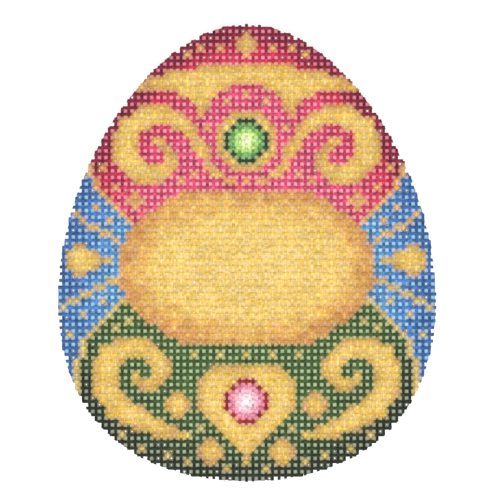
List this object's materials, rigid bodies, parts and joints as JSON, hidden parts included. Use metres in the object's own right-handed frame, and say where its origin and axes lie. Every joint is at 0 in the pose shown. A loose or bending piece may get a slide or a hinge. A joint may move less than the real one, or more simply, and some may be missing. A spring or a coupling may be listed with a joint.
{
  "type": "needlepoint canvas",
  "caption": "Flat egg-shaped sheet of open-mesh cotton canvas, painted with scrolls, rays and gems as a guide for stitching.",
  "frame": {"origin": "middle of the egg's length on the underside of the cloth, on its middle warp thread", "axes": "+X across the egg to the right as its painted face is seen, +Y to the narrow end, +Z out of the painted face"},
  "size_m": [0.0816, 0.0986, 0.0009],
  "materials": {
    "painted_cotton": "matte acrylic paint in gold, rose, blue and green on sized cotton threads, bare and off-white behind"
  },
  "bodies": {
    "root": {"canvas": "painted_cotton"}
  },
  "joints": []
}
